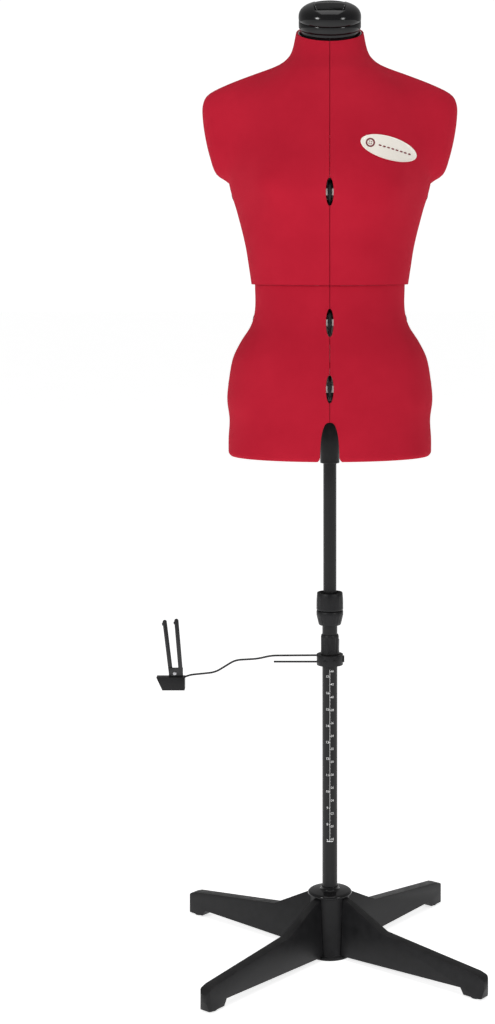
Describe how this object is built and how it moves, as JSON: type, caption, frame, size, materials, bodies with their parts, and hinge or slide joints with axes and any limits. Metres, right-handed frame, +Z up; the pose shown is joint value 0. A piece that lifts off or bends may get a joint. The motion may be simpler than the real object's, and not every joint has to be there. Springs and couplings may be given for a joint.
{
  "type": "adjustable dress form",
  "caption": "Adjustable dress form: red cloth-covered torso panels with seam dials on a telescoping pole, with a four-leg base and a swinging hem marker.",
  "frame": {"origin": "on the floor at the pole's axis", "axes": "+Z up along the pole, -Y out of the chest, +X to the form's own left, which is a viewer's right"},
  "size_m": [0.5002, 0.4624, 1.4818],
  "materials": {
    "base_plastic": "satin moulded black plastic with a fine texture",
    "rubber": "matte black rubber",
    "screw_steel": "zinc-plated steel",
    "pole_paint": "satin black powder coat on steel tube",
    "wire_steel": "black oxide spring steel",
    "nylon": "pale natural nylon",
    "frame_plastic": "plain black glass-filled nylon",
    "cap_plastic": "glossy black moulded plastic",
    "dial_plastic": "black knurled plastic",
    "red_cloth": "fine red jersey bonded to foam over a moulded shell",
    "badge": "cream oval plate with a plain rim"
  },
  "bodies": {
    "stand": {"hub": "base_plastic", "hub_disc": "base_plastic", "leg_front_left": "base_plastic", "leg_front_right": "base_plastic", "leg_back_left": "base_plastic", "leg_back_right": "base_plastic", "foot_pads": "rubber", "leg_screws": "screw_steel", "lower_tube": "pole_paint", "tube_bush": "nylon", "collet_body": "base_plastic"},
    "collet_nut": {"collet_nut": "base_plastic"},
    "pole": {"upper_tube": "pole_paint", "tube_plug": "base_plastic", "pole_cap": "nylon"},
    "torso": {"pole_socket": "base_plastic", "lower_column": "pole_paint", "lower_crosshead": "frame_plastic"},
    "upper": {"upper_column": "pole_paint", "upper_crosshead": "frame_plastic", "neck_collar": "base_plastic"},
    "length_knob": {"length_knob": "base_plastic"},
    "neck_cap": {"neck_cap": "cap_plastic"},
    "marker": {"marker_sleeve": "base_plastic"},
    "marker_arm": {"marker_collar": "base_plastic", "marker_arm": "wire_steel", "marker_block": "base_plastic", "fork_fixed": "wire_steel", "fork_rivet": "screw_steel"},
    "release_lever": {"release_lever": "wire_steel"},
    "fork_gate": {"fork_gate": "wire_steel"},
    "hip_left": {"lower_left_carrier": "nylon"},
    "hip_right": {"lower_right_carrier": "nylon"},
    "lower_front": {"lower_front_yoke": "nylon"},
    "hip_front_left": {"hip_front_left": "red_cloth"},
    "hip_front_right": {"hip_front_right": "red_cloth"},
    "lower_back": {"lower_back_yoke": "nylon"},
    "hip_back_left": {"hip_back_left": "red_cloth"},
    "hip_back_right": {"hip_back_right": "red_cloth"},
    "waist_dial_front": {"waist_dial_front": "dial_plastic"},
    "waist_dial_back": {"waist_dial_back": "dial_plastic"},
    "waist_dial_left": {"waist_dial_left": "dial_plastic"},
    "waist_dial_right": {"waist_dial_right": "dial_plastic"},
    "hip_dial_front": {"hip_dial_front": "dial_plastic"},
    "hip_dial_back": {"hip_dial_back": "dial_plastic"},
    "hip_dial_left": {"hip_dial_left": "dial_plastic"},
    "hip_dial_right": {"hip_dial_right": "dial_plastic"},
    "bust_left": {"upper_left_carrier": "nylon"},
    "bust_right": {"upper_right_carrier": "nylon"},
    "upper_front": {"upper_front_yoke": "nylon"},
    "bust_front_left": {"bust_front_left": "red_cloth"},
    "bust_front_right": {"bust_front_right": "red_cloth", "badge": "badge"},
    "upper_back": {"upper_back_yoke": "nylon"},
    "bust_back_left": {"bust_back_left": "red_cloth"},
    "bust_back_right": {"bust_back_right": "red_cloth"},
    "bust_dial_front": {"bust_dial_front": "dial_plastic"},
    "bust_dial_back": {"bust_dial_back": "dial_plastic"},
    "bust_dial_left": {"bust_dial_left": "dial_plastic"},
    "bust_dial_right": {"bust_dial_right": "dial_plastic"}
  },
  "joints": [
    {"name": "collet_turn", "type": "hinge", "parent": "stand", "child": "collet_nut", "pos_m": [0, 0, 0.547], "axis": [0, 0, 1], "range_deg": [0, 180]},
    {"name": "pole_height", "type": "slide", "parent": "stand", "child": "pole", "axis": [0, 0, 1], "range_m": [-0.18, 0.22]},
    {"name": "torso_turn", "type": "hinge", "parent": "pole", "child": "torso", "pos_m": [0, 0, 0.9], "axis": [0, 0, 1], "continuous": true},
    {"name": "waist_length", "type": "slide", "parent": "torso", "child": "upper", "axis": [0, 0, 1], "range_m": [0, 0.05]},
    {"name": "length_knob_turn", "type": "hinge", "parent": "upper", "child": "length_knob", "pos_m": [0, 0.03, 1.075], "axis": [0, 1, 0], "range_deg": [0, 360]},
    {"name": "neck_cap_turn", "type": "hinge", "parent": "upper", "child": "neck_cap", "pos_m": [0, 0, 1.43], "axis": [0, -0.342, 0.9397], "range_deg": [0, 360]},
    {"name": "marker_height", "type": "slide", "parent": "stand", "child": "marker", "axis": [0, 0, 1], "range_m": [-0.27, 0.012]},
    {"name": "marker_swing", "type": "hinge", "parent": "marker", "child": "marker_arm", "pos_m": [0, 0, 0.457], "axis": [0, 0, 1], "continuous": true},
    {"name": "lever_squeeze", "type": "hinge", "parent": "marker_arm", "child": "release_lever", "pos_m": [-0.018, 0, 0.453], "axis": [0, 1, 0], "range_deg": [0, 4], "stiffness_Nm_per_rad": 0.05, "springref_deg": -11.46},
    {"name": "fork_open", "type": "hinge", "parent": "marker_arm", "child": "fork_gate", "pos_m": [-0.2407, 0, 0.435], "axis": [0, -1, 0], "range_deg": [0, 20]},
    {"name": "hip_width", "type": "slide", "parent": "torso", "child": "hip_left", "axis": [-1, 0, 0], "range_m": [0, 0.016]},
    {"name": "hip_width_right", "type": "slide", "parent": "torso", "child": "hip_right", "axis": [1, 0, 0], "range_m": [0, 0.016]},
    {"name": "hip_depth", "type": "slide", "parent": "hip_left", "child": "hip_front_left", "axis": [0, -1, 0], "range_m": [0, 0.016]},
    {"name": "hip_depth_front_right", "type": "slide", "parent": "hip_right", "child": "hip_front_right", "axis": [0, -1, 0], "range_m": [0, 0.016]},
    {"name": "hip_depth_back_left", "type": "slide", "parent": "hip_left", "child": "hip_back_left", "axis": [0, 1, 0], "range_m": [0, 0.016]},
    {"name": "hip_depth_back_right", "type": "slide", "parent": "hip_right", "child": "hip_back_right", "axis": [0, 1, 0], "range_m": [0, 0.016]},
    {"name": "lower_front_yoke_slide", "type": "slide", "parent": "torso", "child": "lower_front", "axis": [0, -1, 0], "range_m": [0, 0.016]},
    {"name": "lower_back_yoke_slide", "type": "slide", "parent": "torso", "child": "lower_back", "axis": [0, 1, 0], "range_m": [0, 0.016]},
    {"name": "waist_dial_front_turn", "type": "hinge", "parent": "lower_front", "child": "waist_dial_front", "pos_m": [0, -0.07202, 0.983], "axis": [1, 0, 0], "range_deg": [0, 721]},
    {"name": "waist_dial_back_turn", "type": "hinge", "parent": "lower_back", "child": "waist_dial_back", "pos_m": [0, 0.0659, 0.983], "axis": [1, 0, 0], "range_deg": [0, 721]},
    {"name": "waist_dial_left_turn", "type": "hinge", "parent": "hip_left", "child": "waist_dial_left", "pos_m": [-0.10098, 0, 0.983], "axis": [0, 1, 0], "range_deg": [0, 721]},
    {"name": "waist_dial_right_turn", "type": "hinge", "parent": "hip_right", "child": "waist_dial_right", "pos_m": [0.10098, 0, 0.983], "axis": [0, 1, 0], "range_deg": [0, 721]},
    {"name": "hip_dial_front_turn", "type": "hinge", "parent": "lower_front", "child": "hip_dial_front", "pos_m": [0, -0.08636, 0.884], "axis": [1, 0, 0], "range_deg": [0, 721]},
    {"name": "hip_dial_back_turn", "type": "hinge", "parent": "lower_back", "child": "hip_dial_back", "pos_m": [0, 0.10008, 0.884], "axis": [1, 0, 0], "range_deg": [0, 721]},
    {"name": "hip_dial_left_turn", "type": "hinge", "parent": "hip_left", "child": "hip_dial_left", "pos_m": [-0.13881, 0, 0.884], "axis": [0, 1, 0], "range_deg": [0, 721]},
    {"name": "hip_dial_right_turn", "type": "hinge", "parent": "hip_right", "child": "hip_dial_right", "pos_m": [0.13881, 0, 0.884], "axis": [0, 1, 0], "range_deg": [0, 721]},
    {"name": "bust_width", "type": "slide", "parent": "upper", "child": "bust_left", "axis": [-1, 0, 0], "range_m": [0, 0.016]},
    {"name": "bust_width_right", "type": "slide", "parent": "upper", "child": "bust_right", "axis": [1, 0, 0], "range_m": [0, 0.016]},
    {"name": "bust_depth", "type": "slide", "parent": "bust_left", "child": "bust_front_left", "axis": [0, -1, 0], "range_m": [0, 0.016]},
    {"name": "bust_depth_front_right", "type": "slide", "parent": "bust_right", "child": "bust_front_right", "axis": [0, -1, 0], "range_m": [0, 0.016]},
    {"name": "bust_depth_back_left", "type": "slide", "parent": "bust_left", "child": "bust_back_left", "axis": [0, 1, 0], "range_m": [0, 0.016]},
    {"name": "bust_depth_back_right", "type": "slide", "parent": "bust_right", "child": "bust_back_right", "axis": [0, 1, 0], "range_m": [0, 0.016]},
    {"name": "upper_front_yoke_slide", "type": "slide", "parent": "upper", "child": "upper_front", "axis": [0, -1, 0], "range_m": [0, 0.016]},
    {"name": "upper_back_yoke_slide", "type": "slide", "parent": "upper", "child": "upper_back", "axis": [0, 1, 0], "range_m": [0, 0.016]},
    {"name": "bust_dial_front_turn", "type": "hinge", "parent": "upper_front", "child": "bust_dial_front", "pos_m": [0, -0.10027, 1.179], "axis": [1, 0, 0], "range_deg": [0, 721]},
    {"name": "bust_dial_back_turn", "type": "hinge", "parent": "upper_back", "child": "bust_dial_back", "pos_m": [0, 0.08416, 1.179], "axis": [1, 0, 0], "range_deg": [0, 721]},
    {"name": "bust_dial_left_turn", "type": "hinge", "parent": "bust_left", "child": "bust_dial_left", "pos_m": [-0.13376, 0, 1.179], "axis": [0, 1, 0], "range_deg": [0, 721]},
    {"name": "bust_dial_right_turn", "type": "hinge", "parent": "bust_right", "child": "bust_dial_right", "pos_m": [0.13376, 0, 1.179], "axis": [0, 1, 0], "range_deg": [0, 721]}
  ],
  "couplings": [
    {"joint": "hip_width_right", "follows": "hip_width", "ratio": 1},
    {"joint": "hip_depth_front_right", "follows": "hip_depth", "ratio": 1},
    {"joint": "hip_depth_back_left", "follows": "hip_depth", "ratio": 1},
    {"joint": "hip_depth_back_right", "follows": "hip_depth", "ratio": 1},
    {"joint": "lower_front_yoke_slide", "follows": "hip_depth", "ratio": 1},
    {"joint": "lower_back_yoke_slide", "follows": "hip_depth", "ratio": 1},
    {"joint": "waist_dial_front_turn", "follows": "hip_width", "rad_per_m": 785.4},
    {"joint": "waist_dial_back_turn", "follows": "hip_width", "rad_per_m": 785.4},
    {"joint": "waist_dial_left_turn", "follows": "hip_depth", "rad_per_m": 785.4},
    {"joint": "waist_dial_right_turn", "follows": "hip_depth", "rad_per_m": 785.4},
    {"joint": "hip_dial_front_turn", "follows": "hip_width", "rad_per_m": 785.4},
    {"joint": "hip_dial_back_turn", "follows": "hip_width", "rad_per_m": 785.4},
    {"joint": "hip_dial_left_turn", "follows": "hip_depth", "rad_per_m": 785.4},
    {"joint": "hip_dial_right_turn", "follows": "hip_depth", "rad_per_m": 785.4},
    {"joint": "bust_width_right", "follows": "bust_width", "ratio": 1},
    {"joint": "bust_depth_front_right", "follows": "bust_depth", "ratio": 1},
    {"joint": "bust_depth_back_left", "follows": "bust_depth", "ratio": 1},
    {"joint": "bust_depth_back_right", "follows": "bust_depth", "ratio": 1},
    {"joint": "upper_front_yoke_slide", "follows": "bust_depth", "ratio": 1},
    {"joint": "upper_back_yoke_slide", "follows": "bust_depth", "ratio": 1},
    {"joint": "bust_dial_front_turn", "follows": "bust_width", "rad_per_m": 785.4},
    {"joint": "bust_dial_back_turn", "follows": "bust_width", "rad_per_m": 785.4},
    {"joint": "bust_dial_left_turn", "follows": "bust_depth", "rad_per_m": 785.4},
    {"joint": "bust_dial_right_turn", "follows": "bust_depth", "rad_per_m": 785.4}
  ]
}
